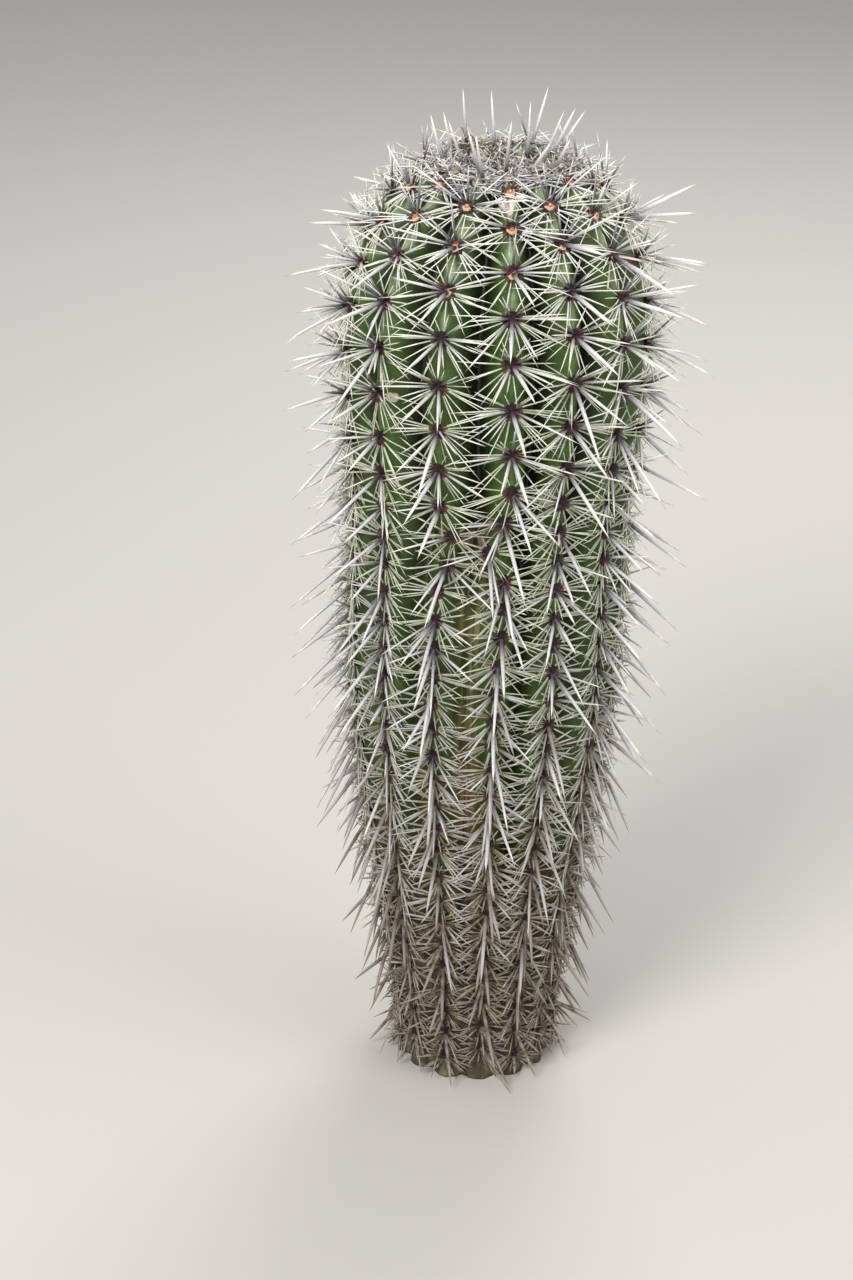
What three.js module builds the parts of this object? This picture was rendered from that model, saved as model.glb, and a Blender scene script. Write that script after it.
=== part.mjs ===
// A young saguaro: one ribbed, club-shaped stem that stands on a flat cut at ground level, with a
// row of spine cushions along the crest of each rib and a tuft of young spines on the growing tip.
// Millimetres, +Z up, origin at the centre of the cut, the front of the plant towards -Y.
import * as THREE from "three";

// Driving sizes of the stem
const DOME_TOP = 620; // where the crests would meet over the growing tip
const FOOT_R = 50; // crest radius just above the ground
const BODY_R = 84.5; // crest radius of the older, lower growth
const BODY_FULL_Z = 330; // height at which the older growth is fully thick
const BODY_SWELL = 1.6; // above 1, the foot stays slim for longer
const HEAD_SWELL = 6.5; // how much thicker the younger head is
const HEAD_FROM_Z = 380;
const HEAD_FULL_Z = 500;
const DOME_FROM_Z = 500; // the shoulder, where the crests start to close over the top
const DOME_POWER = 2.4;
const DOME_ROUND = 0.5;
const ROOT_FLARE = 4; // how far the foot spreads at the ground
const ROOT_FLARE_Z = 12; // height in which that spread dies out
const TOP_LEAN = 12.5; // how far the tip stands to the right of the foot
const LEAN_BEND = 1.6; // above 1, most of the lean is in the upper half

// Driving sizes of the ribs
const RIBS = 14;
const FRONT_RIB_TURN = degrees(3);
const RIB_DEPTH = 20; // crest to furrow on the head
const FOOT_RIB_DEPTH = 9;
const RIB_DEPTH_FULL_Z = 260;
const CREST_LAND = 2.6; // half the width of the flat that the cushions sit on
const FLANK_SHARE = 0.5; // where on the flank its middle point lies, from crest to furrow
const FLANK_SINK = 0.4; // how deep that point lies, as a share of the rib's depth
const WANDER = degrees(1.1); // ribs aren't quite straight
const WANDER_PER_MM = 1 / 75;
const WANDER_PER_RIB = 2.4;

// Where growth once stopped, the front rib and the one on its left draw together, and around it the
// front of the plant has swung to the right.
const CHECK_Z = 400;
const CHECK_REACH = 16;
const CHECK_FRONT_TURN = degrees(-8.5);
const CHECK_LEFT_TURN = degrees(6.5);
const SWING_REACH = 90;
const SWING_FRONT_TURN = degrees(5.2);
const SWING_LEFT_TURN = degrees(2.6);
const SWING_RIGHT_TURN = degrees(-2);
const CHECK_RING_OFFSETS = [-30, -15, 0, 15, 30];
const RING_STEP = 30; // between rings of the column
const DOME_RINGS = 8;

// Driving sizes of the spine cushions: areoles, each with its fan of spines
const ROW_START = 12; // along the crest, from the edge of the tuft to the first cushion
const TIP_SPACING = 17;
const HEAD_SPACING = 29;
const OLD_SPACING = 24;
const HEAD_SPACING_FROM = 55; // along the crest, where the spacing has reached its full size
const HEAD_SPACING_TO = 150;
const OLD_SPACING_FROM = 250;
const ROW_END = 14; // along the crest, from the last cushion to the ground
const CUSHION_REACH = 4; // half its height along the crest
const CUSHION_HALF_WIDTH = 4;
const CUSHION_RISE = 4;
const THREAD_HALF_WIDTH = 1.6; // the raised line of corky skin that joins the cushions
const THREAD_RISE = 1.6;
const ROW_LIFT = 0.6; // clear of the crest, so that the thread's straight runs miss its bulge

// Each spine of a cushion: which of its facets it is drawn from, its length, and where it points on
// a young and on an old cushion, as [outward, sideways, up the crest].
const SPINES = [
  { facet: "lower_near", length: 44, young: [0.9, -0.12, -0.42], old: [0.52, -0.08, -0.85] },
  { facet: "lower_far", length: 34, young: [0.82, 0.42, -0.4], old: [0.55, 0.34, -0.76] },
  { facet: "upper_near", length: 30, young: [0.72, -0.52, 0.46], old: [0.7, -0.64, -0.3] },
  { facet: "upper_far", length: 30, young: [0.72, 0.52, 0.46], old: [0.7, 0.64, -0.3] },
  { facet: "low_side_near", length: 22, young: [0.26, -0.84, -0.48], old: [0.26, -0.78, -0.58] },
  { facet: "low_side_far", length: 22, young: [0.26, 0.84, -0.48], old: [0.26, 0.78, -0.58] },
  { facet: "high_side_near", length: 22, young: [0.28, -0.9, 0.34], old: [0.3, -0.94, -0.14] },
  { facet: "high_side_far", length: 22, young: [0.28, 0.9, 0.34], old: [0.3, 0.94, -0.14] },
];
const AIM_SCATTER = 0.11;
const LENGTH_SCATTER = 0.16;
const OLD_FROM = 0.1; // share of the row at which spines start to turn down with age
const OLD_BY = 0.62; // and at which they have turned all the way
const LEAST_SPINE = 8;
const SHORTEN = 0.9; // by this much at a time, where a spine would leave its space
const PROBES = [0.35, 0.6, 0.8, 1]; // shares of a spine's length at which its space is tested
const SECTOR_GAP = 1.7; // kept to the middle of the furrow, past which the next rib's spines live
const SPINE_GAP = 2.1; // between the lines of two spines of different cushions
const GAP_STEPS = 12; // along a spine, in which that distance is tested
const GROUND_GAP = 1.5;

// The tuft on the growing tip: a woolly cushion whose facets are drawn out into young spines
const TUFT_R = 33;
const TUFT_RISE = 7;
const TUFT_GAP = 0.4;
const TUFT_RINGS = 6;
const TUFT_SIDES = 6;
const TUFT_SPINE = 17;
const TUFT_LONG_SPINE = 28;
const TUFT_LONG_EVERY = 11;
const TUFT_SPINE_SCATTER = 0.3;
const TUFT_SPREAD = 0.9; // how far the outermost young spines lean out, as a slope
const TUFT_AIM_SCATTER = 0.24;
const TUFT_SPACE_R = 36; // the space of the tuft, which widens with height
const TUFT_SPACE_SLOPE = 0.5;
const TUFT_SPACE_GAP = 2;
const TUFT_SPINE_GAP = 3.1;

const SKIN = { color: 0x3c5a26, roughness: 0.55, metalness: 0 };
const SPINE_FINISH = { color: 0xb9b0a4, roughness: 0.7, metalness: 0 };
const TUFT_FINISH = { color: 0xa89c89, roughness: 0.85, metalness: 0 };

function degrees(value) {
  return THREE.MathUtils.degToRad(value);
}

// A source of numbers from -1 to 1 by a fixed rule, so that every build gives the same plant.
const SCATTER = { seed: 7919, times: 1664525, plus: 1013904223, range: 2 ** 32 };
function scatterFor(stream) {
  let state = (stream + 1) * SCATTER.seed;
  return () => {
    state = (Math.imul(state, SCATTER.times) + SCATTER.plus) >>> 0;
    return (state / SCATTER.range) * 2 - 1;
  };
}

// The plant's outline

function crestRadius(z) {
  const thick = Math.sin((Math.PI / 2) * Math.min(1, z / BODY_FULL_Z)) ** BODY_SWELL;
  const head = THREE.MathUtils.smoothstep(z, HEAD_FROM_Z, HEAD_FULL_Z);
  const flare = ROOT_FLARE * Math.exp(-z / ROOT_FLARE_Z);
  const column = FOOT_R + (BODY_R - FOOT_R) * thick + HEAD_SWELL * head + flare;
  const up = THREE.MathUtils.clamp((z - DOME_FROM_Z) / (DOME_TOP - DOME_FROM_Z), 0, 1);
  return column * (1 - up ** DOME_POWER) ** DOME_ROUND;
}

function domeHeight(radius) {
  const share = (radius / (BODY_R + HEAD_SWELL)) ** (1 / DOME_ROUND);
  return DOME_FROM_Z + (DOME_TOP - DOME_FROM_Z) * (1 - share) ** (1 / DOME_POWER);
}

// Heights over the dome, from the edge of the tuft down to the shoulder, close where it turns fast.
function domeHeights(steps) {
  const shoulder = crestRadius(DOME_FROM_Z);
  return Array.from({ length: steps + 1 }, (_, i) => {
    const turned = Math.sin((Math.PI / 2) * (i / steps));
    return domeHeight(TUFT_R + (shoulder - TUFT_R) * turned);
  });
}

function axisX(z) {
  return TOP_LEAN * (Math.max(0, z) / DOME_TOP) ** LEAN_BEND;
}

function ribTurn(rib, z) {
  const k = THREE.MathUtils.euclideanModulo(rib, RIBS);
  const wander = WANDER * Math.sin(z * WANDER_PER_MM + k * WANDER_PER_RIB);
  const near = Math.exp(-(((z - CHECK_Z) / CHECK_REACH) ** 2));
  const around = Math.exp(-(((z - CHECK_Z) / SWING_REACH) ** 2));
  let pull = 0;
  if (k === 0) pull = CHECK_FRONT_TURN * near + SWING_FRONT_TURN * around;
  if (k === 1) pull = SWING_RIGHT_TURN * around;
  if (k === RIBS - 1) pull = CHECK_LEFT_TURN * near + SWING_LEFT_TURN * around;
  return FRONT_RIB_TURN + (rib * 2 * Math.PI) / RIBS + wander + pull;
}

// The point at a turn about the leaning axis: turn 0 is the front, and turns grow to the right.
function around(turn, radius, z) {
  return new THREE.Vector3(axisX(z) + radius * Math.sin(turn), -radius * Math.cos(turn), z);
}

function turnOf(point) {
  return Math.atan2(point.x - axisX(point.z), -point.y);
}

// Collects triangles, each given anticlockwise as seen from outside.
class Surface {
  constructor() {
    this.points = [];
  }
  triangle(a, b, c) {
    for (const p of [a, b, c]) this.points.push(p.x, p.y, p.z);
  }
  quad(a, b, c, d) {
    this.triangle(a, b, c);
    this.triangle(a, c, d);
  }
  // A facet drawn out to a point.
  spine([a, b, c], tip) {
    this.triangle(a, b, tip);
    this.triangle(b, c, tip);
    this.triangle(c, a, tip);
  }
  geometry() {
    const made = new THREE.BufferGeometry();
    made.setAttribute("position", new THREE.Float32BufferAttribute(this.points, 3));
    made.computeVertexNormals();
    return made;
  }
}

function named(name, surface, finish) {
  const mesh = new THREE.Mesh(surface.geometry(), new THREE.MeshStandardMaterial(finish));
  mesh.name = name;
  return mesh;
}

// The stem: rings of crest, flank and furrow points, closed by the cut and by the growing tip

function ringHeights() {
  const heights = [0, ROOT_FLARE_Z / 2, ROOT_FLARE_Z * 2];
  const nearCheck = Math.max(...CHECK_RING_OFFSETS) + RING_STEP / 2;
  for (let z = RING_STEP * 2; z < DOME_FROM_Z; z += RING_STEP) {
    if (Math.abs(z - CHECK_Z) > nearCheck) heights.push(z);
  }
  for (const offset of CHECK_RING_OFFSETS) heights.push(CHECK_Z + offset);
  heights.push(...domeHeights(DOME_RINGS));
  return heights.sort((a, b) => a - b);
}

function stemRing(z) {
  const crest = crestRadius(z);
  const grown = THREE.MathUtils.smoothstep(z, 0, RIB_DEPTH_FULL_Z);
  const full = FOOT_RIB_DEPTH + (RIB_DEPTH - FOOT_RIB_DEPTH) * grown;
  const depth = full * Math.min(1, (crest - TUFT_R) / TUFT_R);
  const points = [];
  for (let rib = 0; rib < RIBS; rib += 1) {
    const middle = ribTurn(rib, z);
    const furrow = (middle + ribTurn(rib + 1, z)) / 2;
    const before = (middle + ribTurn(rib - 1, z)) / 2;
    const land = CREST_LAND / crest;
    const flank = crest - depth * FLANK_SINK;
    points.push(around(THREE.MathUtils.lerp(middle, before, FLANK_SHARE), flank, z));
    points.push(around(middle - land, crest, z));
    points.push(around(middle + land, crest, z));
    points.push(around(THREE.MathUtils.lerp(middle, furrow, FLANK_SHARE), flank, z));
    points.push(around(furrow, crest - depth, z));
  }
  return points;
}

function makeStem() {
  const surface = new Surface();
  const heights = ringHeights();
  const rings = heights.map(stemRing);
  const count = rings[0].length;
  const foot = around(0, 0, 0);
  const tip = around(0, 0, heights.at(-1));
  for (let i = 0; i < count; i += 1) {
    const j = (i + 1) % count;
    for (let level = 0; level + 1 < rings.length; level += 1) {
      const [low, high] = [rings[level], rings[level + 1]];
      surface.quad(low[i], low[j], high[j], high[i]);
    }
    surface.triangle(foot, rings[0][j], rings[0][i]);
    surface.triangle(tip, rings.at(-1)[i], rings.at(-1)[j]);
  }
  return named("stem", surface, SKIN);
}

// The crest line, from the edge of the tuft down to the ground, by its length

const CREST_LINE_DOME_STEPS = 100;
const crestLine = domeHeights(CREST_LINE_DOME_STEPS).map((z) => ({ r: crestRadius(z), z, length: 0 }));
for (let z = DOME_FROM_Z - 1; z >= 0; z -= 1) crestLine.push({ r: crestRadius(z), z, length: 0 });
for (let i = 1; i < crestLine.length; i += 1) {
  const [a, b] = [crestLine[i - 1], crestLine[i]];
  b.length = a.length + Math.hypot(b.r - a.r, b.z - a.z);
}

// The crest at a length: a point, and the directions outward, sideways and up the crest.
function crestAt(rib, length) {
  const i = Math.max(1, crestLine.findIndex((p) => p.length >= length));
  const [a, b] = [crestLine[i - 1], crestLine[i]];
  const share = (length - a.length) / (b.length - a.length);
  const z = THREE.MathUtils.lerp(a.z, b.z, share);
  const turn = ribTurn(rib, z);
  const radial = new THREE.Vector3(Math.sin(turn), -Math.cos(turn), 0);
  const run = Math.hypot(b.r - a.r, b.z - a.z);
  const out = radial.clone().multiplyScalar((a.z - b.z) / run);
  out.z = (b.r - a.r) / run;
  const side = new THREE.Vector3(Math.cos(turn), Math.sin(turn), 0);
  const up = new THREE.Vector3().crossVectors(out, side);
  const point = around(turn, THREE.MathUtils.lerp(a.r, b.r, share), z);
  return { point: point.addScaledVector(out, ROW_LIFT), out, side, up, z };
}

function cushionLengths(rib) {
  const lengths = [];
  let at = ROW_START + (rib % 2 ? TIP_SPACING / 2 : 0);
  while (at < crestLine.at(-1).length - ROW_END) {
    lengths.push(at);
    const young = THREE.MathUtils.lerp(TIP_SPACING, HEAD_SPACING, Math.min(1, at / HEAD_SPACING_FROM));
    const old = THREE.MathUtils.smoothstep(at, HEAD_SPACING_TO, OLD_SPACING_FROM);
    at += THREE.MathUtils.lerp(young, OLD_SPACING, old);
  }
  return lengths;
}

// The left, right and outer corners of a row's section.
function section(rib, length, halfWidth, rise) {
  const { point, out, side } = crestAt(rib, length);
  return {
    left: point.clone().addScaledVector(side, -halfWidth),
    right: point.clone().addScaledVector(side, halfWidth),
    outer: point.clone().addScaledVector(out, rise),
  };
}

function thread(surface, low, high) {
  surface.quad(low.left, low.outer, high.outer, high.left);
  surface.quad(low.outer, low.right, high.right, high.outer);
  surface.quad(low.right, low.left, high.left, high.right);
}

// The eight outer facets of a cushion. Near and far change sides from one cushion to the next.
function cushionFacets(low, middle, high, mirrored) {
  const left = {
    lower: [low.outer, middle.outer, middle.left],
    low_side: [low.left, low.outer, middle.left],
    upper: [middle.left, middle.outer, high.outer],
    high_side: [middle.left, high.outer, high.left],
  };
  const right = {
    lower: [low.outer, middle.right, middle.outer],
    low_side: [low.outer, low.right, middle.right],
    upper: [middle.outer, middle.right, high.outer],
    high_side: [middle.right, high.right, high.outer],
  };
  const [near, far] = mirrored ? [right, left] : [left, right];
  const facets = {};
  for (const part of Object.keys(near)) {
    facets[`${part}_near`] = near[part];
    facets[`${part}_far`] = far[part];
  }
  return facets;
}

function middleOf([a, b, c]) {
  return new THREE.Vector3().add(a).add(b).add(c).divideScalar(3);
}

// A spine stays on its own side of both furrows, above the ground and out of the tuft's space.
function inOwnSpace(point, rib) {
  const radius = Math.hypot(point.x - axisX(point.z), point.y);
  const before = (ribTurn(rib, point.z) + ribTurn(rib - 1, point.z)) / 2;
  const after = (ribTurn(rib, point.z) + ribTurn(rib + 1, point.z)) / 2;
  const width = THREE.MathUtils.euclideanModulo(turnOf(point) - before, 2 * Math.PI) * radius;
  const room = (after - before) * radius;
  const tuft = TUFT_SPACE_R + TUFT_SPACE_SLOPE * Math.max(0, point.z - DOME_TOP);
  return width > SECTOR_GAP && width < room - SECTOR_GAP
    && point.z > GROUND_GAP && radius > tuft + TUFT_SPACE_GAP;
}

// The tip of a spine, drawn back until the spine keeps to its space, or nothing if too little is left.
function reach(root, aim, length, allowed) {
  for (let long = length; long > LEAST_SPINE; long *= SHORTEN) {
    const along = (share) => root.clone().addScaledVector(aim, long * share);
    if (PROBES.every((share) => allowed(along(share)))) return along(1);
  }
  return null;
}

// The least distance between two spines' lines, by stepping along one of them.
function gapBetween(a, b) {
  const line = new THREE.Line3(b.root, b.tip);
  const closest = new THREE.Vector3();
  let least = Infinity;
  for (let i = 0; i <= GAP_STEPS; i += 1) {
    const at = new THREE.Vector3().lerpVectors(a.root, a.tip, i / GAP_STEPS);
    line.closestPointToPoint(at, true, closest);
    least = Math.min(least, closest.distanceTo(at));
  }
  return least;
}

function makeSpineRow(rib) {
  const scatter = scatterFor(rib);
  const surface = new Surface();
  const lengths = cushionLengths(rib).reverse();
  const placed = [];
  let last = null;
  lengths.forEach((length, index) => {
    const place = crestAt(rib, length);
    const low = section(rib, length + CUSHION_REACH, THREAD_HALF_WIDTH, THREAD_RISE);
    const middle = section(rib, length, CUSHION_HALF_WIDTH, CUSHION_RISE);
    const high = section(rib, length - CUSHION_REACH, THREAD_HALF_WIDTH, THREAD_RISE);
    if (last) thread(surface, last, low);
    else surface.triangle(low.left, low.right, low.outer);
    last = high;
    surface.quad(low.right, low.left, middle.left, middle.right);
    surface.quad(middle.right, middle.left, high.left, high.right);
    const mirrored = (index + rib) % 2 === 1;
    const facets = cushionFacets(low, middle, high, mirrored);
    const down = 1 - index / (lengths.length - 1);
    const age = THREE.MathUtils.smoothstep(down, OLD_FROM, OLD_BY);
    for (const kind of SPINES) {
      const facet = facets[kind.facet];
      const [out, side, up] = kind.young.map(
        (share, i) => THREE.MathUtils.lerp(share, kind.old[i], age) + scatter() * AIM_SCATTER,
      );
      const aim = place.out.clone().multiplyScalar(out);
      aim.addScaledVector(place.side, mirrored ? -side : side).addScaledVector(place.up, up).normalize();
      const root = middleOf(facet);
      const long = kind.length * (1 + scatter() * LENGTH_SCATTER);
      const tip = reach(root, aim, long, (point) => inOwnSpace(point, rib));
      const spine = { root, tip, cushion: index };
      const clear = (other) => other.cushion === index || gapBetween(spine, other) > SPINE_GAP;
      if (tip && placed.every(clear)) {
        surface.spine(facet, tip);
        placed.push(spine);
      } else {
        surface.triangle(...facet);
      }
    }
  });
  surface.triangle(last.left, last.outer, last.right);
  return named(`spine_row_${String(rib + 1).padStart(2, "0")}`, surface, SPINE_FINISH);
}

// The tuft: rings of facets over a low dome, each drawn out into a young spine

function tuftPoint(ring, step, base) {
  const share = ring / TUFT_RINGS;
  const turn = (2 * Math.PI * step) / (TUFT_SIDES * Math.max(1, ring));
  return around(turn, TUFT_R * share, base).setZ(base + TUFT_RISE * (1 - share ** 2));
}

function makeTuft() {
  const scatter = scatterFor(RIBS);
  const surface = new Surface();
  const base = domeHeight(TUFT_R) + TUFT_GAP;
  const at = (ring, step) => tuftPoint(ring, step, base);
  const facets = [];
  for (let ring = 1; ring <= TUFT_RINGS; ring += 1) {
    for (let side = 0; side < TUFT_SIDES; side += 1) {
      for (let step = 0; step < ring; step += 1) {
        const outer = at(ring, side * ring + step);
        const nextOuter = at(ring, side * ring + step + 1);
        const inner = at(ring - 1, side * (ring - 1) + step);
        const nextInner = at(ring - 1, side * (ring - 1) + step + 1);
        facets.push([inner, outer, nextOuter]);
        if (step < ring - 1) facets.push([inner, nextOuter, nextInner]);
      }
    }
  }
  const middle = new THREE.Vector3(axisX(base), 0, base);
  const inTuft = (point) => {
    const radius = Math.hypot(point.x - axisX(point.z), point.y);
    return radius < TUFT_SPACE_R + TUFT_SPACE_SLOPE * Math.max(0, point.z - DOME_TOP);
  };
  const placed = [];
  facets.forEach((facet, index) => {
    const root = middleOf(facet);
    const aim = root.clone().sub(middle).setZ(0).multiplyScalar(TUFT_SPREAD / TUFT_R);
    aim.add(new THREE.Vector3(scatter(), scatter(), 0).multiplyScalar(TUFT_AIM_SCATTER));
    aim.setZ(1).normalize();
    const usual = index % TUFT_LONG_EVERY === 0 ? TUFT_LONG_SPINE : TUFT_SPINE;
    const tip = reach(root, aim, usual * (1 + scatter() * TUFT_SPINE_SCATTER), inTuft);
    const spine = { root, tip };
    if (tip && placed.every((other) => gapBetween(spine, other) > TUFT_SPINE_GAP)) {
      surface.spine(facet, tip);
      placed.push(spine);
    } else {
      surface.triangle(...facet);
    }
  });
  for (let step = 0; step < TUFT_SIDES * TUFT_RINGS; step += 1) {
    surface.triangle(middle, at(TUFT_RINGS, step + 1), at(TUFT_RINGS, step));
  }
  return named("crown_tuft", surface, TUFT_FINISH);
}

const saguaro = new THREE.Group();
saguaro.name = "saguaro";
saguaro.add(makeStem());
for (let rib = 0; rib < RIBS; rib += 1) saguaro.add(makeSpineRow(rib));
saguaro.add(makeTuft());

export default saguaro;
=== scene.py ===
import math

import bpy
import numpy as np
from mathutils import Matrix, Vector, noise


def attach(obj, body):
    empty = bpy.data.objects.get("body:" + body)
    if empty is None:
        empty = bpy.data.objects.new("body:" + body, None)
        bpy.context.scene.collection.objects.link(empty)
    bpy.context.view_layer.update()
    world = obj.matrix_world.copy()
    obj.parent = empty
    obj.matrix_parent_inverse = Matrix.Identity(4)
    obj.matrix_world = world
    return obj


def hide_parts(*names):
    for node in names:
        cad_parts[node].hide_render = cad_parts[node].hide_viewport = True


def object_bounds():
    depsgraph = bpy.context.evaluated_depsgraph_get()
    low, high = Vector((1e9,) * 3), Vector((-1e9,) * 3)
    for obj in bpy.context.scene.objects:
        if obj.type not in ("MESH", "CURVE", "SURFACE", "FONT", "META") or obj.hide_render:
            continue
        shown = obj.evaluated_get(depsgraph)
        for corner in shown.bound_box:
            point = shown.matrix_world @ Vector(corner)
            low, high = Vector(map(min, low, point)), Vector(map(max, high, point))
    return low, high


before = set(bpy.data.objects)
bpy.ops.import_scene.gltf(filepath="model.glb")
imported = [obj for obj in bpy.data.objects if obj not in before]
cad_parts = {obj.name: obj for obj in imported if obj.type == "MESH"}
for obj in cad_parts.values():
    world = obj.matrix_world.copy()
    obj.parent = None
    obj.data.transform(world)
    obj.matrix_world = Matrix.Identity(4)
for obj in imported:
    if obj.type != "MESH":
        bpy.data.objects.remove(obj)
cad_low, cad_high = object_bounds()


# The stem: one column of green, water-filled flesh in a thick waxy skin, drawn into fourteen ribs and
# cut flat at the ground. It grows at the tip, so the head is young and smooth, and the foot is old,
# narrow and corky. Each rib swells under its spine cushions and pinches in a little above them.

MM = 0.001
RIBS = 14

# Its outline along the crests, in millimetres.
DOME_TOP = 620
DOME_FROM = 500  # the shoulder, where the crests start to close over the top
DOME_POWER = 2.4
DOME_ROUND = 0.5
FOOT_R = 50
BODY_R = 84.5
BODY_FULL_Z = 330
BODY_SWELL = 1.6
HEAD_SWELL = 6.5
HEAD_FROM = 380
HEAD_FULL = 500
ROOT_FLARE = 4
ROOT_FLARE_Z = 12
TOP_LEAN = 12.5
LEAN_BEND = 1.6
TUFT_R = 33

# Its ribs: which way they stand, how deep their furrows are, and how far their crests wander.
FRONT_TURN = math.radians(3)
RIB_DEPTH = 20
FOOT_RIB_DEPTH = 9
RIB_DEPTH_FULL_Z = 260
RIB_POWER = 1.32
CREST_ROUND = 0.2
WANDER = math.radians(1.1)
WANDER_Z = 75
WANDER_PER_RIB = 2.4

# Where growth once stopped, the front rib and the one on its left draw together. Around that place
# both have swung to the right, and the next rib there has swung a little towards them.
CHECK_Z = 400
CHECK_REACH = 16
CHECK_FRONT = math.radians(-8.5)
CHECK_LEFT = math.radians(6.5)
SWING_REACH = 90
SWING_FRONT = math.radians(5.2)
SWING_LEFT = math.radians(2.6)
SWING_RIGHT = math.radians(-2)


def smooth(x, low, high):
    share = np.clip((x - low) / (high - low), 0, 1)
    return share * share * (3 - 2 * share)


def between(a, b, share):
    return a + (b - a) * share


def bump_at(distance, size):
    """1 where the distance is nothing, and fading away over the size."""
    return np.exp(-((distance / size) ** 2))


def crest_radius(z):
    thick = np.sin(np.pi / 2 * np.minimum(1, z / BODY_FULL_Z)) ** BODY_SWELL
    head = HEAD_SWELL * smooth(z, HEAD_FROM, HEAD_FULL)
    column = between(FOOT_R, BODY_R, thick) + head + ROOT_FLARE * np.exp(-z / ROOT_FLARE_Z)
    up = np.clip((z - DOME_FROM) / (DOME_TOP - DOME_FROM), 0, 1)
    return column * (1 - up ** DOME_POWER) ** DOME_ROUND


def axis_x(z):
    return TOP_LEAN * (np.maximum(0, z) / DOME_TOP) ** LEAN_BEND


def rib_turn(rib, z):
    place = rib % RIBS
    wander = WANDER * np.sin(z / WANDER_Z + place * WANDER_PER_RIB)
    near_check = bump_at(z - CHECK_Z, CHECK_REACH)
    swung = bump_at(z - CHECK_Z, SWING_REACH)
    pull = 0
    if place == 0:
        pull = CHECK_FRONT * near_check + SWING_FRONT * swung
    if place == 1:
        pull = SWING_RIGHT * swung
    if place == RIBS - 1:
        pull = CHECK_LEFT * near_check + SWING_LEFT * swung
    return FRONT_TURN + rib * 2 * np.pi / RIBS + wander + pull


def around(turn, radius, z):
    """A point at a radius from the leaning axis, with turns counted from the camera to the right."""
    return np.stack([axis_x(z) + radius * np.sin(turn), -radius * np.cos(turn), z + 0 * turn], axis=-1)


# The crest of a rib, from the edge of the tuft down to the ground, by its length.
DOME_STEPS = 101
shoulder_r = crest_radius(DOME_FROM)
over_dome = between(TUFT_R, shoulder_r, np.sin(np.linspace(0, np.pi / 2, DOME_STEPS)))
closed = (over_dome / (BODY_R + HEAD_SWELL)) ** (1 / DOME_ROUND)
dome_z = between(DOME_FROM, DOME_TOP, np.maximum(0, 1 - closed) ** (1 / DOME_POWER))
line_z = np.concatenate([dome_z, np.arange(DOME_FROM - 1.0, -1, -1)])
line_r = crest_radius(line_z)
line_steps = np.hypot(np.diff(line_r), np.diff(line_z))
line_length = np.concatenate([[0], np.cumsum(line_steps)])
CREST_LENGTH = line_length[-1]
line_out_r = -np.gradient(line_z, line_length)
line_out_z = np.gradient(line_r, line_length)

# How far apart the cushions are: crowded at the tip, wide on the head, close again on old growth.
TIP_SPACING = 8.5
HEAD_SPACING = 25.7
HEAD_SPACING_AT = 30
WIDEST_SPACING = 28
WIDEST_FROM = 60
WIDEST_AT = 120
OLD_SPACING = 18.7
OLD_SPACING_FROM = 150
OLD_SPACING_AT = 240
FRONT_CUSHION = 38.5
LAST_CUSHION = 0.5
GROWTH_STEPS = 4000

grown = np.linspace(0, CREST_LENGTH, GROWTH_STEPS)
spacing = between(TIP_SPACING, HEAD_SPACING, smooth(grown, 0, HEAD_SPACING_AT))
spacing += (WIDEST_SPACING - HEAD_SPACING) * smooth(grown, WIDEST_FROM, WIDEST_AT)
spacing += (OLD_SPACING - WIDEST_SPACING) * smooth(grown, OLD_SPACING_FROM, OLD_SPACING_AT)
counted = np.concatenate([[0], np.cumsum(np.diff(grown) / spacing[1:])])
front_count = np.interp(FRONT_CUSHION, grown, counted)


def cushion_lengths(rib):
    """Where a rib has its cushions, by their length along its crest. Neighbours alternate."""
    first = (front_count + rib % 2 / 2) % 1
    return np.interp(np.arange(first, counted[-1] - LAST_CUSHION, 1), counted, grown)


# Its mesh, and the relief of its skin.
COLUMNS = 20
RINGS = 330
SWELLING = 1.5
SWELLING_LONG = 6.5
SWELLING_WIDE = 7
SHRUNKEN = 0.5
SHRINKING = (200, 420)
NOTCH = 0.7
NOTCH_ABOVE = 7
NOTCH_LONG = 3
LUMPS = 0.8
LUMP_SIZE = 32
PLEATS = 0.7
PLEAT_SIZE = 4.5
PLEAT_LONG = 45
PLEATED_BELOW = 300
CORK = 1.0
CORK_SIZE = 5
CORK_SQUASH = 0.6
CORKY_BELOW = 150
TIP_HOLLOW = 15

# Marks on the skin: brown scabs and pale, peeled patches beside some cushions, a bloom on the crest
# above each, and furrows that have lost their green, most of all the one left of the front rib.
MARKED = (55, 330)
SCAB_SHARE = 0.16
SCAB_BESIDE = (4, 7)
SCAB_SIZE = (2.5, 5.5)
SCAB_NARROWING = 1.4
PEELED_SHARE = 0.13
PEELED_BESIDE = (5.5, 8)
PEELED_SIZE = (2.5, 4)
PEELED_BELOW = 2
PEELED_PLACES = (  # rib, length along the crest, distance beside it, width and height
    (0, 24, -1, 8, 6.5),
    (RIBS - 1, 236, 12, 10, 8),
    (0, 238, -9, 7, 8),
)
BLOOM_ABOVE = 10
BLOOM_LONG = 9
BLOOM_WIDE = 5
SALLOW_MOST = 0.55


def plumpness(length):
    """How much of a cushion's swelling is left at a length along the crest."""
    return between(1, SHRUNKEN, smooth(length, *SHRINKING))


def dealt_marks(placed, share, distances, sizes):
    """Which cushions have a mark, how far beside the crest it lies, and its size."""
    dealt = (rng.random(len(placed)) < share) * (placed > MARKED[0]) * (placed < MARKED[1])
    beside = rng.choice((-1, 1), len(placed)) * rng.uniform(*distances, len(placed))
    return dealt, beside, rng.uniform(*sizes, len(placed))


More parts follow.
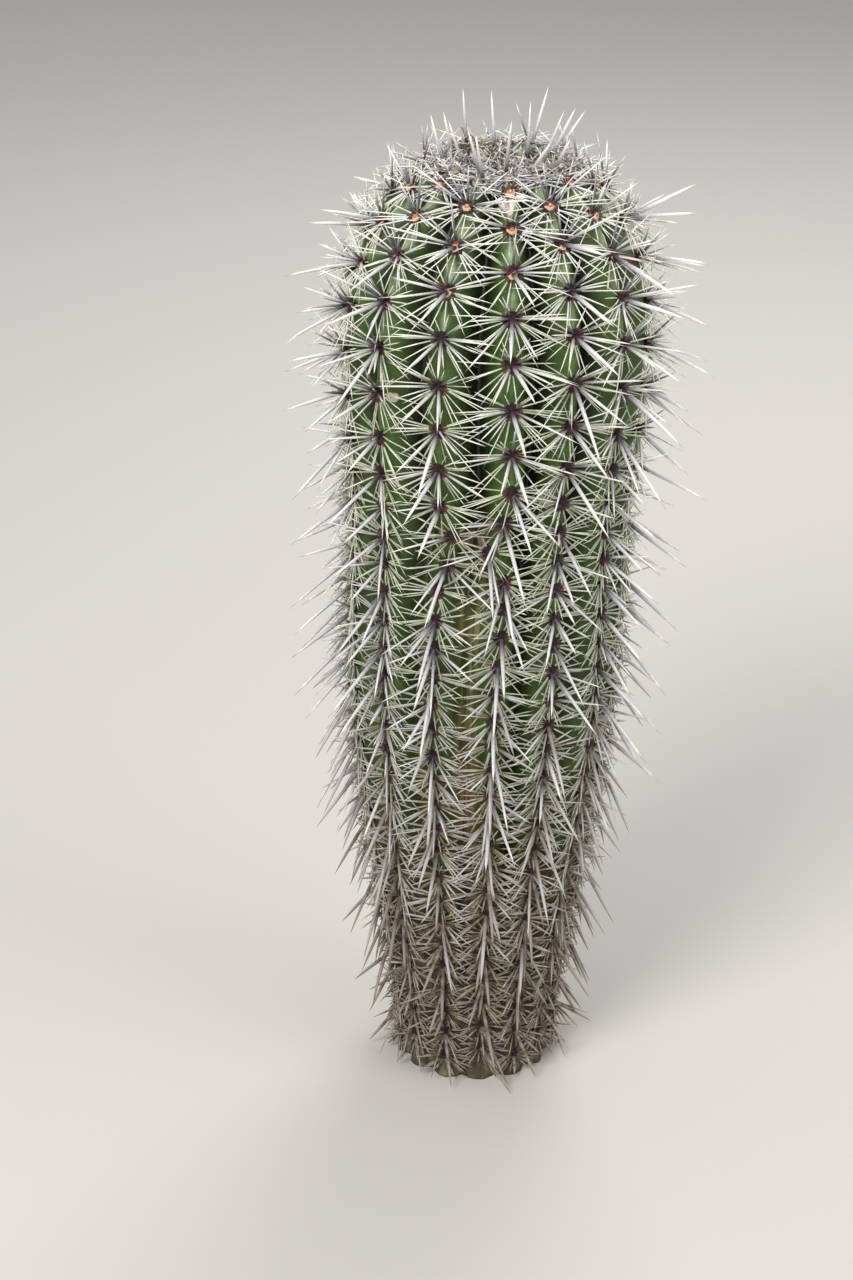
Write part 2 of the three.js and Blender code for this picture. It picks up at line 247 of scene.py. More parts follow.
def marked(marks, away, aside, narrowing):
    """How strongly marks show on a line down the rib, by its distances from the cushions."""
    dealt, beside, size = marks
    across = (aside[:, None] - beside) * narrowing
    return (bump_at(np.hypot(away, across), size) * dealt).sum(1)


lengths = np.linspace(0, CREST_LENGTH, RINGS)
ring_z = np.interp(lengths, line_length, line_z)
ring_z[-1] = 0
ring_r = np.interp(lengths, line_length, line_r)
ring_out_r = np.interp(lengths, line_length, line_out_r)
ring_out_z = np.interp(lengths, line_length, line_out_z)
ring_depth = between(FOOT_RIB_DEPTH, RIB_DEPTH, smooth(ring_z, 0, RIB_DEPTH_FULL_Z))
ring_depth *= np.minimum(1, (ring_r - TUFT_R) / TUFT_R)
phases = np.linspace(-1, 1, COLUMNS, endpoint=False)
sunk = (phases ** 2 + CREST_ROUND ** 2) ** (RIB_POWER / 2) - CREST_ROUND ** RIB_POWER
sunk /= (1 + CREST_ROUND ** 2) ** (RIB_POWER / 2) - CREST_ROUND ** RIB_POWER

rng = np.random.default_rng(11)
sallow_furrows = rng.uniform(0, SALLOW_MOST, RIBS)
sallow_furrows[RIBS - 1] = 1
corners = np.zeros((RINGS, RIBS, COLUMNS, 3))
trait_names = ("furrow", "papery", "bloom", "sallow", "scab")
traits = {name: np.zeros((RINGS, RIBS, COLUMNS)) for name in trait_names}
half_width = np.pi * ring_r / RIBS
for rib in range(RIBS):
    middle = rib_turn(rib, ring_z)
    before = (middle + rib_turn(rib - 1, ring_z)) / 2
    after = (middle + rib_turn(rib + 1, ring_z)) / 2
    placed = cushion_lengths(rib)
    scab_marks = dealt_marks(placed, SCAB_SHARE, SCAB_BESIDE, SCAB_SIZE)
    peeled_marks = dealt_marks(placed, PEELED_SHARE, PEELED_BESIDE, PEELED_SIZE)
    away = lengths[:, None] - placed[None, :]
    swelling = bump_at(away, SWELLING_LONG).sum(1)
    notch = bump_at(away + NOTCH_ABOVE, NOTCH_LONG).sum(1)
    bloomy = bump_at(away + BLOOM_ABOVE, BLOOM_LONG).sum(1)
    for column, phase in enumerate(phases):
        side = before if phase < 0 else after
        turn = between(middle, side, abs(phase))
        aside = phase * half_width
        rise = (SWELLING * swelling - NOTCH * notch) * bump_at(aside, SWELLING_WIDE)
        rise = rise * plumpness(lengths)
        place = around(turn, ring_r - ring_depth * sunk[column], ring_z)
        for ring in range(RINGS):
            x, y, z = place[ring]
            lump = noise.noise(Vector((x, y, z)) / LUMP_SIZE)
            pleated = max(0, 1 - z / PLEATED_BELOW) * abs(phase)
            pleat = noise.noise(Vector((x / PLEAT_SIZE, y / PLEAT_SIZE, z / PLEAT_LONG)))
            corky = max(0, 1 - z / CORKY_BELOW)
            cork = noise.noise(Vector((x, y, z * CORK_SQUASH)) / CORK_SIZE)
            rise[ring] += LUMPS * lump + PLEATS * pleat * pleated + CORK * cork * corky
        radial = np.stack([np.sin(turn), -np.cos(turn), 0 * turn], axis=-1)
        shift = radial * (rise * ring_out_r)[:, None]
        shift[:, 2] += rise * ring_out_z
        corners[:, rib, column] = place + shift

        papery = marked(peeled_marks, away - PEELED_BELOW, aside, 1)
        for peeled_rib, at, beside, wide, tall in PEELED_PLACES:
            if peeled_rib == rib:
                papery += bump_at(lengths - at, tall) * bump_at(aside - beside, wide)
        near_furrow = sallow_furrows[rib if phase > 0 else rib - 1]
        traits["furrow"][:, rib, column] = abs(phase)
        traits["papery"][:, rib, column] = papery
        traits["bloom"][:, rib, column] = bloomy * bump_at(aside, BLOOM_WIDE)
        traits["sallow"][:, rib, column] = near_furrow * phase ** 2
        traits["scab"][:, rib, column] = marked(scab_marks, away, aside, SCAB_NARROWING)
corners[-1, ..., 2] = 0
corners[..., 2] = np.maximum(0, corners[..., 2])
AROUND = RIBS * COLUMNS
corners = corners.reshape(-1, 3)
foot_middle = np.array([[0, 0, 0]])
tip_middle = np.array([[axis_x(ring_z[0]), 0, ring_z[0] - TIP_HOLLOW]])
corners = np.concatenate([corners, foot_middle, tip_middle])
here = np.arange((RINGS - 1) * AROUND).reshape(RINGS - 1, AROUND)
beside = np.roll(here, -1, axis=1)
walls = np.stack([here + AROUND, beside + AROUND, beside, here], axis=-1).reshape(-1, 4)
top_ring = np.arange(AROUND)
foot_ring = top_ring + (RINGS - 1) * AROUND
top_fan = np.stack([top_ring, np.roll(top_ring, -1), np.full(AROUND, len(corners) - 1)], axis=-1)
foot_fan = np.stack([np.roll(foot_ring, -1), foot_ring, np.full(AROUND, len(corners) - 2)], axis=-1)


def mesh_of(name, corners, faces, finishes, worn):
    """A smooth mesh from millimetre corners, arrays of faces by size, and the finish of each face."""
    mesh = bpy.data.meshes.new(name)
    mesh.vertices.add(len(corners))
    mesh.vertices.foreach_set("co", (corners * MM).ravel())
    loops = np.concatenate([group.ravel() for group in faces])
    sizes = np.concatenate([np.full(len(group), group.shape[1]) for group in faces])
    mesh.loops.add(len(loops))
    mesh.loops.foreach_set("vertex_index", loops)
    mesh.polygons.add(len(sizes))
    mesh.polygons.foreach_set("loop_start", np.concatenate([[0], np.cumsum(sizes)[:-1]]))
    mesh.polygons.foreach_set("use_smooth", np.ones(len(sizes), bool))
    for finish in finishes:
        mesh.materials.append(finish.material)
    mesh.polygons.foreach_set("material_index", worn)
    mesh.update(calc_edges=True)
    mesh.validate()
    piece = bpy.data.objects.new(name, mesh)
    bpy.context.scene.collection.objects.link(piece)
    return piece


def paint(code):
    """A colour for a socket from its six hex digits."""
    levels = [int(code[i:i + 2], 16) / 255 for i in (0, 2, 4)]
    linear = [level / 12.92 if level < 0.04 else ((level + 0.055) / 1.055) ** 2.4 for level in levels]
    return (*linear, 1)


class Wire:
    """An output of a finish's nodes that can stand in sums and products."""

    def __init__(self, finish, socket):
        self.finish = finish
        self.socket = socket

    def worked(self, operation, a, b):
        return self.finish.node("ShaderNodeMath", {"operation": operation}, {0: a, 1: b})

    def __add__(self, other):
        return self.worked("ADD", self, other)

    def __radd__(self, other):
        return self.worked("ADD", other, self)

    def __sub__(self, other):
        return self.worked("SUBTRACT", self, other)

    def __rsub__(self, other):
        return self.worked("SUBTRACT", other, self)

    def __mul__(self, other):
        return self.worked("MULTIPLY", self, other)

    def __rmul__(self, other):
        return self.worked("MULTIPLY", other, self)

    def spread(self, low, high):
        """0 below low, 1 above high and smooth between them."""
        limits = {"Value": self, "From Min": low, "From Max": high}
        return self.finish.node("ShaderNodeMapRange", {"interpolation_type": "SMOOTHSTEP"}, limits)


class Finish:
    """A material whose nodes are all made in one way."""

    def __init__(self, name):
        self.material = bpy.data.materials.new(name)
        self.material.use_nodes = True
        self.tree = self.material.node_tree
        self.shader = self.tree.nodes["Principled BSDF"]

    def feed(self, socket, value):
        if isinstance(value, Wire):
            self.tree.links.new(value.socket, socket)
        else:
            socket.default_value = value

    def set(self, name, value):
        self.feed(self.shader.inputs[name], value)

    def node(self, kind, settings, inputs, output=0):
        made = self.tree.nodes.new(kind)
        for name, value in settings.items():
            setattr(made, name, value)
        for name, value in inputs.items():
            self.feed(made.inputs[name], value)
        return Wire(self, made.outputs[output])

    def read(self, name):
        return self.node("ShaderNodeAttribute", {"attribute_name": name}, {}, "Fac")

    def place(self, squash=1):
        """Where a point of the piece is, in metres, with its height squashed."""
        where = self.node("ShaderNodeTexCoord", {}, {}, "Object")
        inputs = {0: where, 1: (1, 1, squash)}
        return self.node("ShaderNodeVectorMath", {"operation": "MULTIPLY"}, inputs)

    def noise(self, place, scale, detail, distortion=0):
        inputs = {"Vector": place, "Scale": scale, "Detail": detail, "Distortion": distortion}
        return self.node("ShaderNodeTexNoise", {}, inputs, 0)

    def mix(self, share, a, b):
        """From one colour to another. The Mix node takes them at 6 and 7 and gives one at 2."""
        a, b = [colour if isinstance(colour, Wire) else paint(colour) for colour in (a, b)]
        return self.node("ShaderNodeMix", {"data_type": "RGBA"}, {0: share, 6: a, 7: b}, 2)

    def bump(self, height, strength, distance):
        inputs = {"Strength": strength, "Distance": distance, "Height": height}
        self.set("Normal", self.node("ShaderNodeBump", {}, inputs))


def plain(name, code, roughness):
    """A finish of one even colour."""
    finish = Finish(name)
    finish.set("Base Color", paint(code))
    finish.set("Roughness", roughness)
    return finish


skin = Finish("waxy_skin")
where = skin.place()
broad = skin.noise(where, 22, 3)
fine = skin.noise(where, 160, 5)
grain = skin.noise(where, 900, 2)
streaks = skin.noise(skin.place(0.07), 260, 4)
in_furrow = skin.read("furrow")
papery_patch = skin.read("papery")
crest_bloom = skin.read("bloom")
age = skin.read("age")
sallowness = skin.read("sallow")
scabs = skin.read("scab")

# Mottled green, with a pale bloom on young crests, and painted shade that makes it nearly black at the
# bottom of the furrows.
green = skin.mix(broad.spread(0.35, 0.65), "2f4814", "476020")
green = skin.mix(fine.spread(0.4, 0.75) * 0.45, green, "55782e")
bloomed = (crest_bloom * (1 - age.spread(0.06, 0.3)) * (0.45 + fine * 0.75)).spread(0.2, 0.9)
green = skin.mix(bloomed * 0.8, green, "a6b586")
# Painted shade: the green darkens towards the bottom of each furrow, less so on old growth.
painted_furrow_shade = in_furrow.spread(0.28, 0.88) * (0.75 + broad * 0.4) * (1 - age.spread(0.4, 0.62) * 0.6)
green = skin.mix(painted_furrow_shade, green, "0e1606")

# Sallow furrows are straw-coloured on the body and tan further down.
straw = skin.mix(streaks.spread(0.38, 0.72), "4d5a2a", "989463")
tan = skin.mix(streaks.spread(0.35, 0.65), "6b5539", "b89c74")
straw = skin.mix(age.spread(0.52, 0.66), straw, tan)
green = skin.mix(sallowness.spread(0.1, 0.6) * age.spread(0.33, 0.42), green, straw)

# Small rusty scars, the scabs, and the peeled patches, which are pale on the head and tan below.
scars = (fine * 0.6 + grain * 0.4).spread(0.62, 0.68) * broad.spread(0.45, 0.6)
green = skin.mix(scars * 0.7, green, "8d5a34")
scabbed = (scabs + (fine - 0.5) * 0.9).spread(0.35, 0.6)
crust = skin.mix(grain.spread(0.35, 0.65), "3c211b", "7d4a33")
green = skin.mix(scabbed * 0.9, green, crust)
fibre = grain.spread(0.4, 0.6)
old_paper = skin.mix(fibre, "9b8468", "d0bfa2")
paper = skin.mix(age.spread(0.2, 0.34), skin.mix(fibre, "d6cab9", "f2eadd"), old_paper)
peeled = (papery_patch + (fine - 0.5) * 1.2).spread(0.4, 0.6)
green = skin.mix(peeled * 0.9, green, paper)

# Grey-brown cork takes over towards the foot, in blotches and first in the furrows.
cork = skin.mix(fine.spread(0.35, 0.7), "4a3f30", "7c7157")
cork = skin.mix(streaks.spread(0.45, 0.62) * 0.6, cork, "3b3027")
dried = age.spread(0.6, 0.84) * (0.45 + broad.spread(0.38, 0.56) * 0.6)
corked = (dried + in_furrow * 0.06 + sallowness * 0.15).spread(0.42, 0.62)
skin.set("Base Color", skin.mix(corked, green, cork))
skin.set("Roughness", 0.42 + corked * 0.45 + bloomed * 0.15)
relief = grain * 0.35 + fine * 0.5 + streaks * (0.4 + corked * 1.2)
skin.bump(relief, 0.55, 0.0012)

worn = np.zeros(len(walls) + len(top_fan) + len(foot_fan), int)
stem = mesh_of("stem_skin", corners, [walls, top_fan, foot_fan], [skin], worn)
traits["age"] = np.repeat(lengths / CREST_LENGTH, AROUND)
for name, values in traits.items():
    at_foot = 1 if name in ("furrow", "age") else 0
    at_tip = 0
    values = np.concatenate([values.ravel(), [at_foot, at_tip]])
    stem.data.attributes.new(name, "FLOAT", "POINT").data.foreach_set("value", values)
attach(stem, "root")
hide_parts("stem")


# The cushions: an oval pad of felt on the crest, out of which the spines grow. It is grey wool beside
# the crown and orange and proud with a fringe of hairs on young growth, and it wears down to a dark,
# dry scar. A pad is fused to the skin, so its rim lies a little under the surface.

PAD_SIDES = 12
PAD_RINGS = (1.0, 0.86, 0.55, 0.22)
PAD_SINK = 1.2
PAD_SEAT = 0.3
PAD_STRAY = 0.9
PAD_LUMPS = 0.25
PAD_UNEVEN = (0.9, 1.1)
PAD_AGE_STRAY = 0.4
PAD_SHADE_EDGE = (-0.3, 0.6)

# Where a pad ages, then half its width, half its height and its rise on old and on young growth.
PAD_AGEING = (150, 330)
PAD_WIDE = (2.8, 3.7)
PAD_TALL = (5.0, 4.5)
PAD_PROUD = (1.5, 2.6)

FELT = {
    "felt_peach": "dbb596",
    "felt_orange": "ab7851",
    "felt_rust": "69402f",
    "felt_maroon": "3f2022",
    "felt_dark": "241518",
    "felt_brown": "513d33",
    "felt_grey": "7f7266",
    "felt_wool": "a39a8a",
}

# From the crown down: a pad's finish above and at its rim, and those of the bands inward below.
PAD_AGE_LENGTHS = (8, 22, 58, 100, 180, 440)
PAD_AGES = (
    ("felt_grey", "felt_wool", "felt_grey", "felt_wool"),
    ("felt_rust", "felt_peach", "felt_orange", "felt_peach"),
    ("felt_maroon", "felt_peach", "felt_orange", "felt_orange"),
    ("felt_dark", "felt_rust", "felt_maroon", "felt_maroon"),
    ("felt_dark", "felt_rust", "felt_dark", "felt_dark"),
    ("felt_dark", "felt_brown", "felt_dark", "felt_brown"),
)
HAIR_AGES = ("felt_grey", "felt_peach", "felt_peach", "felt_rust", "felt_rust", "felt_grey")
HAIRS = 30
HAIR_LONG = (1.6, 3.2)
HAIR_WORN = 0.6
HAIR_THIN = 0.16
HAIR_REACH = (0.55, 0.95)
HAIR_FROM = 0.4
HAIR_SPREAD = 0.8
HAIR_RISE = (0.5, 1.2)
HAIR_STRAY = 0.2
PALE_HAIRS = 0.3


class Many:
    """Many small forms, joined into one mesh."""

    def __init__(self):
        self.corners = []
        self.faces = []
        self.worn = []
        self.count = 0

    def add(self, corners, faces, worn):
        """corners is copies x corners x 3, faces is the form's faces, and worn is copies x faces."""
        copies, each = corners.shape[:2]
        first = self.count + np.arange(copies) * each
        for face, finish in zip(faces, np.asarray(worn).T):
            self.faces.append(first[:, None] + np.array(face)[None, :])
            self.worn.append(finish)
        self.corners.append(corners.reshape(-1, 3))
        self.count += copies * each

    def piece(self, name, finishes, slot, *replaced):
        worn = np.concatenate(self.worn)
        made = mesh_of(name, np.concatenate(self.corners), self.faces, finishes, worn)
        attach(made, "root")
        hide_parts(*replaced)


def crest_at(rib, length):
    """The crest at a length: a point and the directions outward, sideways and up the crest."""
    z = float(np.interp(length, line_length, line_z))
    radius = float(np.interp(length, line_length, line_r))
    out_r = float(np.interp(length, line_length, line_out_r))
    out_z = float(np.interp(length, line_length, line_out_z))
    turn = float(rib_turn(rib, z))
    run = math.hypot(out_r, out_z)
    out = np.array([math.sin(turn) * out_r, -math.cos(turn) * out_r, out_z]) / run
    side = np.array([math.cos(turn), math.sin(turn), 0])
    return around(turn, radius, z), out, side, np.cross(out, side)


def past(length, limits):
    """0 before the first of two limits, 1 beyond the second, and smooth between them."""
    return float(smooth(length, *limits))


def step_of(length, lengths, scatter):
    """Which of a row of ages belongs to a cushion at a length along the crest."""
    step = float(np.interp(length, lengths, range(len(lengths)))) + scatter
    return int(np.clip(round(step), 0, len(lengths) - 1))


def tube(rings, sides):
    """The faces between the rings of a tube."""
    faces = []
    for ring in range(rings - 1):
        for step in range(sides):
            a = ring * sides + step
            b = ring * sides + (step + 1) % sides
            faces.append((a, b, b + sides, a + sides))
    return faces


def pointed(rings, sides):
    """The faces of a tube that ends in one corner, and last the one over its base."""
    last = (rings - 1) * sides
    point = [(last + step, last + (step + 1) % sides, last + sides) for step in range(sides)]
    return tube(rings, sides) + point + [tuple(range(sides - 1, -1, -1))]


felt = {name: plain(name, code, 0.95) for name, code in FELT.items()}
felt_index = {name: i for i, name in enumerate(FELT)}
ring_turns = np.arange(PAD_SIDES) * 2 * np.pi / PAD_SIDES
pad_faces = pointed(len(PAD_RINGS), PAD_SIDES)

rng = np.random.default_rng(23)
pads = Many()
cushions = [[] for _ in range(RIBS)]
for rib in range(RIBS):
    for index, length in enumerate(cushion_lengths(rib)):
        length = length + rng.uniform(-PAD_STRAY, PAD_STRAY)
        point, out, side, up = crest_at(rib, length)
        point = point + out * (SWELLING * plumpness(length) - PAD_SEAT)
        young = 1 - past(length, PAD_AGEING)
        age_step = step_of(length, PAD_AGE_LENGTHS, rng.uniform(-PAD_AGE_STRAY, PAD_AGE_STRAY))
        wide = between(*PAD_WIDE, young) * rng.uniform(*PAD_UNEVEN)
        tall = between(*PAD_TALL, young) * rng.uniform(*PAD_UNEVEN)
        proud = between(*PAD_PROUD, young) * rng.uniform(0.85, 1.15)
        cushions[rib].append((index, length, point, out, side, up, wide, tall, proud))
        form = []
        for ring, share in enumerate(PAD_RINGS):
            uneven = rng.uniform(*PAD_UNEVEN, PAD_SIDES) if ring else np.ones(PAD_SIDES)
            x = wide * share * np.sin(ring_turns) * uneven
            y = -tall * share * np.cos(ring_turns) * uneven
            rise = np.full(PAD_SIDES, -PAD_SINK)
            if ring:
                rise = proud * (1 - share ** 2) + rng.uniform(-PAD_LUMPS, PAD_LUMPS, PAD_SIDES)
            form.append(point + x[:, None] * side + y[:, None] * up + rise[:, None] * out)
        form.append((point + out * proud)[None, :])
        names = PAD_AGES[age_step]
        bands = []
        for band in range(len(PAD_RINGS)):
            for step in range(PAD_SIDES):
                below = math.cos(ring_turns[step]) > rng.uniform(*PAD_SHADE_EDGE)
                bands.append(felt_index[names[band] if below else names[0]])
        pads.add(np.concatenate(form)[None], pad_faces, [bands + [felt_index[names[0]]]])

        turns = rng.uniform(0, 2 * np.pi, HAIRS)
        reach = rng.uniform(*HAIR_REACH, HAIRS)
        leaning = (np.sin(turns) * wide)[:, None] * side - (np.cos(turns) * tall)[:, None] * up
        roots = point + leaning * reach[:, None] + out * HAIR_FROM
        aims = leaning / wide * HAIR_SPREAD + out * rng.uniform(*HAIR_RISE, HAIRS)[:, None]
        aims += rng.normal(0, HAIR_STRAY, (HAIRS, 3))
        aims /= np.linalg.norm(aims, axis=1)[:, None]
        long = rng.uniform(*HAIR_LONG, HAIRS) * between(HAIR_WORN, 1, young)
        across = np.cross(aims, out)
        across /= np.linalg.norm(across, axis=1)[:, None] + 1e-9
        over = np.cross(aims, across)
        form = np.stack([
            roots + across * HAIR_THIN,
            roots - across * HAIR_THIN / 2 + over * HAIR_THIN,
            roots - across * HAIR_THIN / 2 - over * HAIR_THIN,
            roots + aims * long[:, None],
        ], axis=1)
        shade = felt_index[HAIR_AGES[age_step]]
        worn = np.full((HAIRS, 4), shade)
        worn[rng.random(HAIRS) < PALE_HAIRS] = felt_index[names[2]]
        pads.add(form, [(1, 0, 3), (2, 1, 3), (0, 2, 3), (0, 1, 2)], worn)
rows = [f"spine_row_{rib + 1:02d}" for rib in range(RIBS)]
pads.piece("cushion_felt", list(felt.values()), "spines", *rows)


# The spines: hard, straight needles of two kinds on every cushion. A comb of thin ones spreads
# sideways over the furrows, and a few stout ones stand out from its middle, up and outward on young
# growth and hanging down on old. They are dark where they leave the felt, lilac grey and then ivory.

SPINE_SHADES = {
    "root_black": "221a1f",
    "root_plum": "43323a",
    "root_rust": "775249",
    "shaft_slate": "5e5b5f",
    "shaft_dusk": "858184",
    "shaft_lilac": "aba7aa",
    "shaft_silver": "c7c4c4",
    "shaft_pale": "dddad7",
    "tip_cream": "f5f1e6",
    "comb_sage": "adb29a",
    "comb_green": "c4caae",
    "comb_ivory": "e9e7da",
    "comb_grey": "b5b1aa",
    "old_mauve": "8a7e7a",
    "old_tan": "978a70",
    "old_brown": "665849",
    "old_grey": "8f8881",
}

# The shades, from root to tip, of stout spines and of combs at eight lengths along the crest, and of
# the stout ones that point up. The steps are the shares of a spine's length where its shade changes.
AGE_LENGTHS = (0, 25, 110, 210, 320, 440, 540, 610)
STOUT_STEPS = (0, 0.05, 0.11, 0.18, 0.28, 0.42, 0.58, 0.78)
STOUT_AGES = (
    ("root_black", "root_plum", "shaft_slate", "shaft_dusk",
     "shaft_lilac", "shaft_silver", "shaft_pale", "tip_cream"),
    ("root_black", "root_plum", "shaft_slate", "shaft_dusk",
     "shaft_lilac", "shaft_silver", "shaft_pale", "tip_cream"),
    ("root_black", "root_plum", "shaft_dusk", "shaft_lilac",
     "shaft_silver", "shaft_pale", "shaft_pale", "tip_cream"),
    ("root_black", "root_plum", "shaft_slate", "shaft_lilac",
     "shaft_silver", "shaft_silver", "shaft_pale", "tip_cream"),
    ("root_plum", "root_plum", "shaft_slate", "shaft_dusk",
     "shaft_lilac", "shaft_silver", "shaft_silver", "comb_ivory"),
    ("old_brown", "old_brown", "old_mauve", "old_mauve",
     "old_grey", "shaft_lilac", "comb_grey", "comb_grey"),
    ("old_brown", "old_brown", "old_brown", "old_mauve",
     "old_brown", "old_mauve", "old_grey", "old_tan"),
    ("old_brown", "old_brown", "old_mauve", "old_brown",
     "old_mauve", "old_brown", "old_grey", "old_tan"),
)
UPPER_SHADES = (
    "root_black", "root_black", "root_plum", "shaft_slate",
    "shaft_slate", "shaft_dusk", "shaft_lilac", "shaft_pale",
)
COMB_STEPS = (0, 0.11, 0.36, 0.72)
COMB_AGES = (
    ("root_plum", "shaft_dusk", "shaft_lilac", "shaft_pale"),
    ("root_plum", "shaft_pale", "comb_ivory", "tip_cream"),
    ("root_rust", "comb_green", "comb_ivory", "comb_ivory"),
    ("root_rust", "comb_sage", "comb_green", "comb_ivory"),
    ("root_plum", "comb_sage", "comb_grey", "comb_green"),
    ("old_brown", "old_tan", "comb_grey", "comb_grey"),
    ("old_brown", "old_brown", "old_tan", "old_grey"),
    ("root_plum", "old_brown", "old_mauve", "old_tan"),
)

# Where growth once stopped, the combs that cross in the closed furrow have weathered more.
KNOT_SHADES = ("old_brown", "old_tan", "comb_grey", "comb_green")
KNOT_REACH = 24
KNOT_SHARE = 0.8

# The stout spines. Each has an aim, as outward, sideways and up the crest, and a length, both on
# young and on old growth, then its thickness, the share of young and of old cushions that have it,
# and the length along the crest at which it starts.
STOUT = (
    ((0.92, -0.08, -0.36), 44, (0.50, -0.06, -0.86), 46, 2.65, 1.0, 0.95, 45),
    ((0.82, 0.42, -0.40), 38, (0.46, 0.22, -0.86), 36, 1.95, 0.8, 0.5, 80),
    ((0.70, -0.50, 0.50), 25, (0.66, -0.66, -0.34), 22, 1.45, 0.9, 0.2, 12),
    ((0.70, 0.50, 0.50), 25, (0.66, 0.66, -0.34), 22, 1.45, 0.9, 0.2, 20),
    ((0.46, -0.88, 0.04), 39, (0.50, -0.66, -0.56), 29, 1.6, 0.9, 0.5, 20),
    ((0.46, 0.88, 0.04), 39, (0.50, 0.66, -0.56), 29, 1.6, 0.9, 0.5, 20),
    ((0.60, -0.76, -0.20), 37, (0.60, -0.50, -0.60), 25, 1.55, 0.7, 0.0, 60),
    ((0.64, 0.06, 0.78), 26, (0.82, 0.10, -0.52), 20, 1.45, 0.7, 0.0, 20),
)
STOUT_DROOPING = (0.12, 0.85)
STOUT_THINNING = (110, 260)
STOUT_WEARING = (470, 600)
STOUT_OFF_TIP = (6, 50)
STOUT_AIM = 0.13
STOUT_AIM_WORN = 1.9
STOUT_LONG = 0.17
STOUT_LONG_AT_TIP = 0.8
STOUT_LONG_WORN = (0.45, 1.05)
STOUT_WIDTH = (0.85, 1.12)
STOUT_ROOT = (0.45, 0.4, 0.35)
STOUT_BEND = 0.06
STOUT_SAG = 0.02
STOUT_AGE_STRAY = 0.6
STOUT_SIDES = 5
UPPER_FROM = 0.25
UPRIGHT_AT_TIP = 0.2

# A comb, on young and on crowded old growth: the spines on each side, how far they fan out and stray,
# in degrees from sideways, their length, and how far they lift off the skin.
COMB_CROWDING = (130, 260)
COMB_COUNT = (9, 10)
COMB_COUNT_STRAY = 1.2
COMB_HIGHEST = 34
COMB_LOWEST = -58
COMB_STRAY = (7, 11)
COMB_LONG = (37, 28)
COMB_LONG_SPREAD = (0.66, 1.18)
COMB_LONGEST_AT = 0.42
COMB_END_LOSS = 0.2
COMB_OFF_TIP = (4, 28)
COMB_AT_TIP = 0.42
COMB_WEARING = (420, 620)
COMB_WORN = 0.7
COMB_FLATTENING = (60, 200)
COMB_LIFT = (19, 15)
COMB_LIFT_STRAY = 10
COMB_FLAT_AT_TIP = 10
COMB_WIDTH = (0.9, 1.3)
COMB_RIM = 0.82
COMB_SINK = 0.2
COMB_BEND_IN = (0.02, 0.1)
COMB_BEND_DOWN = (-0.02, 0.05)
COMB_AGE_STRAY = 0.8
COMB_SIDES = 4

# Four more spines close the ring below and above: their turns, how far they stray, and their length.
COMB_CLOSING = (((-79, -103), 6, (22, 16)), ((62, 116), 9, (15, 11)))

# The form of a single spine, and how it is shortened to stay off the ground and in the plant's box.
BULB = 0.3
BULB_LONG = 0.06
TAPER = 2.6
TAPER_ROUND = 0.75
STEEP = 0.9
SHORTEST = 4
SHORTENING = 0.93
GROUND_GAP = 2
room_low = np.array(cad_low) / MM
room_low[2] = GROUND_GAP
room_high = np.array(cad_high) / MM


def thickness_at(shares):
    """A spine swells a little at its root and then tapers to its tip."""
    shares = np.array(shares)
    return (1 + BULB * bump_at(shares, BULB_LONG)) * (1 - shares ** TAPER) ** TAPER_ROUND


def add_spines(many, spines, steps, sides):
    """Needles with rings at some steps of their length.

    A spine is its root, aim, bend, length, width and the finishes of its stretches.
    """
    roots, aims, bends, lengths, widths, shades = [np.array(column) for column in zip(*spines)]
    other_way = np.where(np.abs(aims[:, 2:]) > STEEP, [[1.0, 0, 0]], [[0, 0, 1.0]])
    across = np.cross(other_way, aims)
    across /= np.linalg.norm(across, axis=1)[:, None]
    over = np.cross(aims, across)
    form = []
    for share, thick in zip(steps, thickness_at(steps)):
        middle = roots + aims * (lengths * share)[:, None] + bends * share ** 2
        for side in range(sides):
            turn = 2 * math.pi * side / sides
            edge = across * math.cos(turn) + over * math.sin(turn)
            form.append(middle + edge * (widths / 2 * thick)[:, None])
    form.append(roots + aims * lengths[:, None] + bends)
    base = 0
    bands = [*np.repeat(np.arange(len(steps)), sides), base]
    many.add(np.stack(form, axis=1), pointed(len(steps), sides), shades[:, bands])


def fitted(root, aim, bend, length):
    """The length at which a spine's tip stays above the ground and in the plant's own box."""
    while length > SHORTEST:
        tip = root + aim * length + bend
        if np.all(tip > room_low) and np.all(tip < room_high):
            return length
        length *= SHORTENING
    return 0


def unit(vector):
    return vector / np.linalg.norm(vector)


def halfway(a, b):
    """The name of the shade between two, which joins the spines' shades."""
    name = "_".join(sorted({a, b}))
    levels = [int(SPINE_SHADES[a][i:i + 2], 16) + int(SPINE_SHADES[b][i:i + 2], 16) for i in (0, 2, 4)]
    SPINE_SHADES[name] = "".join(f"{level // 2:02x}" for level in levels)
    return name


def graded(names):
    """A stout spine's shades from root to tip, with one more between each two."""
    softened = []
    for a, b in zip(names, names[1:]):
        softened += [a, halfway(a, b)]
    return softened + [names[-1]]


whole_steps = np.arange(len(STOUT_STEPS))
half_steps = np.arange(2 * len(STOUT_STEPS) - 1) / 2
stout_steps = np.interp(half_steps, whole_steps, STOUT_STEPS)
stout_names = [graded(names) for names in (*STOUT_AGES, UPPER_SHADES)]
needle = {name: plain(name, code, 0.48) for name, code in SPINE_SHADES.items()}
needle_index = {name: i for i, name in enumerate(SPINE_SHADES)}
*stout_shades, upper_shades = [[needle_index[name] for name in names] for names in stout_names]
comb_shades = [[needle_index[name] for name in names] for names in COMB_AGES]
knot_shades = [needle_index[name] for name in KNOT_SHADES]


